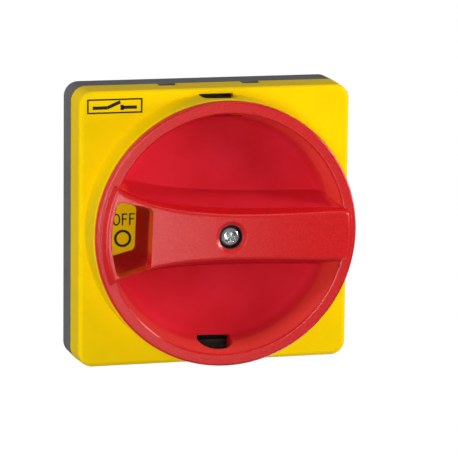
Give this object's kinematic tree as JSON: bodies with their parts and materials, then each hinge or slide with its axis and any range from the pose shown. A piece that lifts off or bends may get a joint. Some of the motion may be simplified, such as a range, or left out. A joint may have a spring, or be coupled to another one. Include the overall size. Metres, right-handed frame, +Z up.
{
  "type": "rotary isolator switch",
  "caption": "Panel-mounted rotary isolator switch with a large red round handle on a square yellow cover and a cam-operated contact stack behind the panel.",
  "frame": {"origin": "shaft axis, in the plane of the base's back face that rests on the panel", "axes": "+Y back along the shaft into the panel, +Z up, +X to the right seen from the front; the handle faces -Y and points at OFF to the left"},
  "size_m": [0.065, 0.067, 0.065],
  "materials": {
    "grey_plastic": "fine matt texture, dark grey",
    "yellow_plastic": "satin yellow",
    "red_plastic": "satin red, fine texture on the bar and rim",
    "black_plastic": "matt black",
    "white_plastic": "natural white",
    "black_rubber": "matt",
    "zinc_steel": "bright zinc plate",
    "plain_steel": "drawn steel",
    "spring_steel": "spring steel",
    "copper": "plated copper alloy"
  },
  "bodies": {
    "housing": {"base_frame": "grey_plastic", "panel_gasket": "black_rubber", "front_cover": "yellow_plastic", "shaft_bush": "white_plastic", "shaft_seal": "black_rubber", "body_screws": "zinc_steel", "index_housing": "black_plastic", "detent_spring_left": "spring_steel", "detent_spring_right": "spring_steel", "contact_chamber_1": "black_plastic", "contact_chamber_2": "black_plastic", "rear_plate": "black_plastic", "tie_screws": "zinc_steel", "contact_spring_1": "spring_steel", "fixed_contacts_1": "copper", "clamp_plates_1": "zinc_steel", "terminal_screws_1": "zinc_steel", "contact_spring_2": "spring_steel", "fixed_contacts_2": "copper", "clamp_plates_2": "zinc_steel", "terminal_screws_2": "zinc_steel", "contact_spring_3": "spring_steel", "fixed_contacts_3": "copper", "clamp_plates_3": "zinc_steel", "terminal_screws_3": "zinc_steel", "contact_spring_4": "spring_steel", "fixed_contacts_4": "copper", "clamp_plates_4": "zinc_steel", "terminal_screws_4": "zinc_steel"},
    "rotor": {"handle": "red_plastic", "handle_screw": "zinc_steel", "screw_cup": "black_plastic", "drive_shaft": "plain_steel", "index_wheel": "white_plastic", "cam_1": "white_plastic", "cam_2": "white_plastic"},
    "plunger_set_1": {"plunger_1": "white_plastic", "bridge_1": "copper"},
    "plunger_set_2": {"plunger_2": "white_plastic", "bridge_2": "copper"},
    "plunger_set_3": {"plunger_3": "white_plastic", "bridge_3": "copper"},
    "plunger_set_4": {"plunger_4": "white_plastic", "bridge_4": "copper"}
  },
  "joints": [
    {"name": "handle_turn", "type": "hinge", "parent": "housing", "child": "rotor", "pos_m": [0, 0, 0], "axis": [0, 1, 0], "range_deg": [0, 90], "deforming": ["detent_spring_left", "detent_spring_right"]},
    {"name": "contact_1", "type": "slide", "parent": "housing", "child": "plunger_set_1", "axis": [0, 0, -1], "range_m": [0, 0.0025], "deforming": ["contact_spring_1"]},
    {"name": "contact_2", "type": "slide", "parent": "housing", "child": "plunger_set_2", "axis": [0, 0, 1], "range_m": [0, 0.0025], "deforming": ["contact_spring_2"]},
    {"name": "contact_3", "type": "slide", "parent": "housing", "child": "plunger_set_3", "axis": [0, 0, -1], "range_m": [0, 0.0025], "deforming": ["contact_spring_3"]},
    {"name": "contact_4", "type": "slide", "parent": "housing", "child": "plunger_set_4", "axis": [0, 0, 1], "range_m": [0, 0.0025], "deforming": ["contact_spring_4"]}
  ],
  "couplings": [
    {"joint": "contact_1", "follows": "handle_turn", "m_per_rad": 0.0015915},
    {"joint": "contact_2", "follows": "handle_turn", "m_per_rad": 0.0015915},
    {"joint": "contact_3", "follows": "handle_turn", "m_per_rad": 0.0015915},
    {"joint": "contact_4", "follows": "handle_turn", "m_per_rad": 0.0015915}
  ]
}
